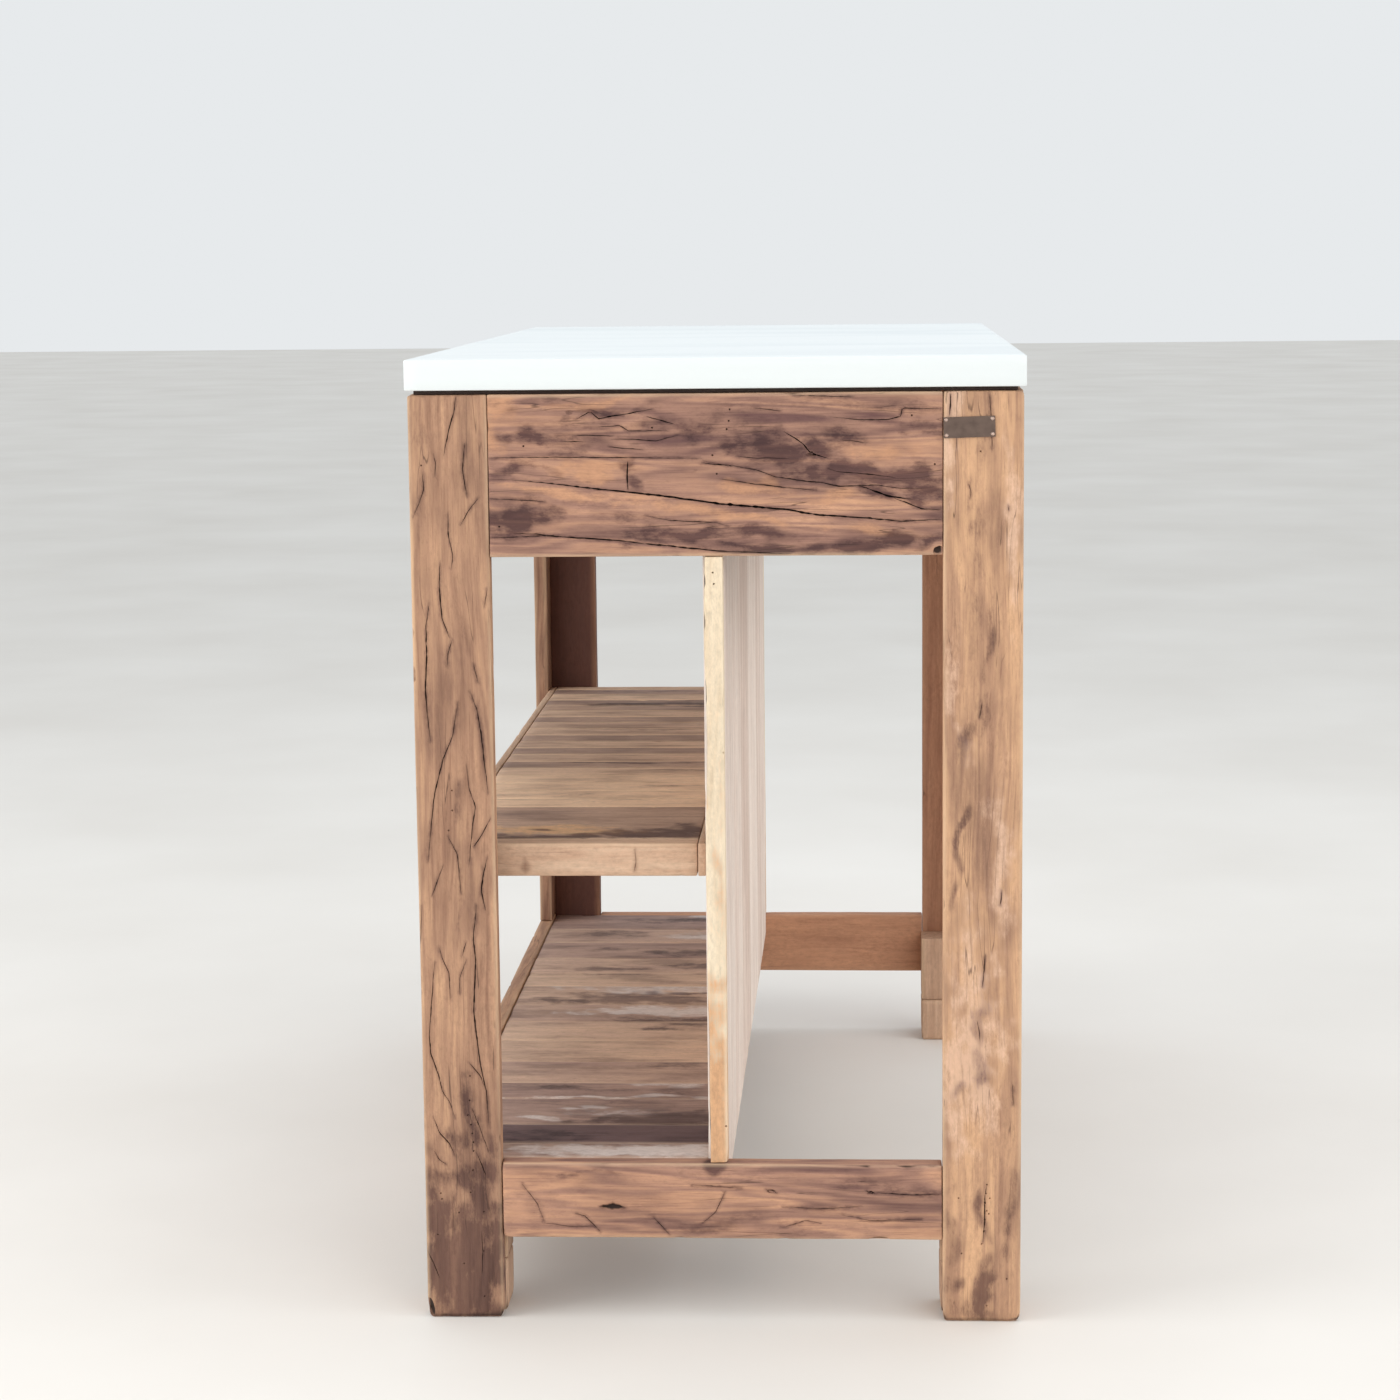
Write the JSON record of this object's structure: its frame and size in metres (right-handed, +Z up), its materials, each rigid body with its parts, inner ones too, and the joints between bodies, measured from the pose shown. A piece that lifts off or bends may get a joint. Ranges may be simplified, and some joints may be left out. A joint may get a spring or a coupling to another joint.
{
  "type": "bathroom vanity stand",
  "caption": "Open-frame reclaimed timber vanity stand with a white stone top, a slatted shelf tray, a boarded bottom shelf and a lengthwise divider with an open bay behind it.",
  "frame": {"origin": "middle of the footprint, on the floor", "axes": "+X along the length towards the end that carries the metal plate, +Y from the open shelf side towards the back, +Z up"},
  "size_m": [1.2, 0.6, 0.962],
  "materials": {
    "stone": "honed, slightly eased edges",
    "underlay": "raw dark packing sheet",
    "leg_wood": "raw reclaimed hardwood with long drying cracks",
    "brown_wood": "raw reclaimed hardwood with knots and open cracks",
    "shelf_wood": "raw reclaimed hardwood, brushed",
    "light_wood": "raw light hardwood, sawn",
    "pale_wood": "raw pale softwood, planed",
    "plate": "aged bronze brown, blank",
    "pins": "bright domed heads"
  },
  "bodies": {
    "root": {"stone_top": "stone", "top_underlay": "underlay", "leg_front_right_end_board": "leg_wood", "leg_front_left_end_board": "leg_wood", "leg_rear_right_end_board": "leg_wood", "leg_rear_left_end_board": "leg_wood", "leg_front_right_side_board": "leg_wood", "leg_front_left_side_board": "leg_wood", "leg_rear_right_side_board": "leg_wood", "leg_rear_left_side_board": "leg_wood", "leg_front_right_low_side": "leg_wood", "leg_front_left_low_side": "leg_wood", "leg_front_right_block": "leg_wood", "leg_front_left_block": "leg_wood", "leg_rear_right_block": "leg_wood", "leg_rear_left_block": "leg_wood", "leg_front_right_pad": "leg_wood", "leg_front_left_pad": "leg_wood", "leg_rear_right_pad": "leg_wood", "leg_rear_left_pad": "leg_wood", "apron_right_end": "brown_wood", "apron_left_end": "brown_wood", "apron_front": "brown_wood", "apron_rear": "brown_wood", "stretcher_right_end": "brown_wood", "stretcher_left_end": "brown_wood", "front_lower_rail": "leg_wood", "front_ledger": "leg_wood", "floor_board_01": "shelf_wood", "floor_board_02": "shelf_wood", "floor_board_03": "shelf_wood", "floor_board_04": "shelf_wood", "floor_board_05": "shelf_wood", "floor_board_06": "shelf_wood", "floor_board_07": "shelf_wood", "floor_board_08": "shelf_wood", "floor_board_09": "shelf_wood", "floor_board_10": "shelf_wood", "floor_board_11": "shelf_wood", "floor_board_12": "shelf_wood", "floor_board_13": "shelf_wood", "floor_board_14": "shelf_wood", "divider_stile_right": "pale_wood", "divider_stile_left": "pale_wood", "divider_board_1": "pale_wood", "divider_board_2": "pale_wood", "divider_board_3": "pale_wood", "divider_board_4": "pale_wood", "divider_board_5": "pale_wood", "divider_board_6": "pale_wood", "tray_front_rail": "light_wood", "tray_rear_rail": "light_wood", "tray_right_rail": "light_wood", "tray_left_rail": "light_wood", "tray_wide_board": "shelf_wood", "tray_slats": "shelf_wood", "tray_front_ledger": "shelf_wood", "tray_rear_ledger": "shelf_wood", "name_plate": "plate", "plate_pins": "pins"}
  },
  "joints": []
}
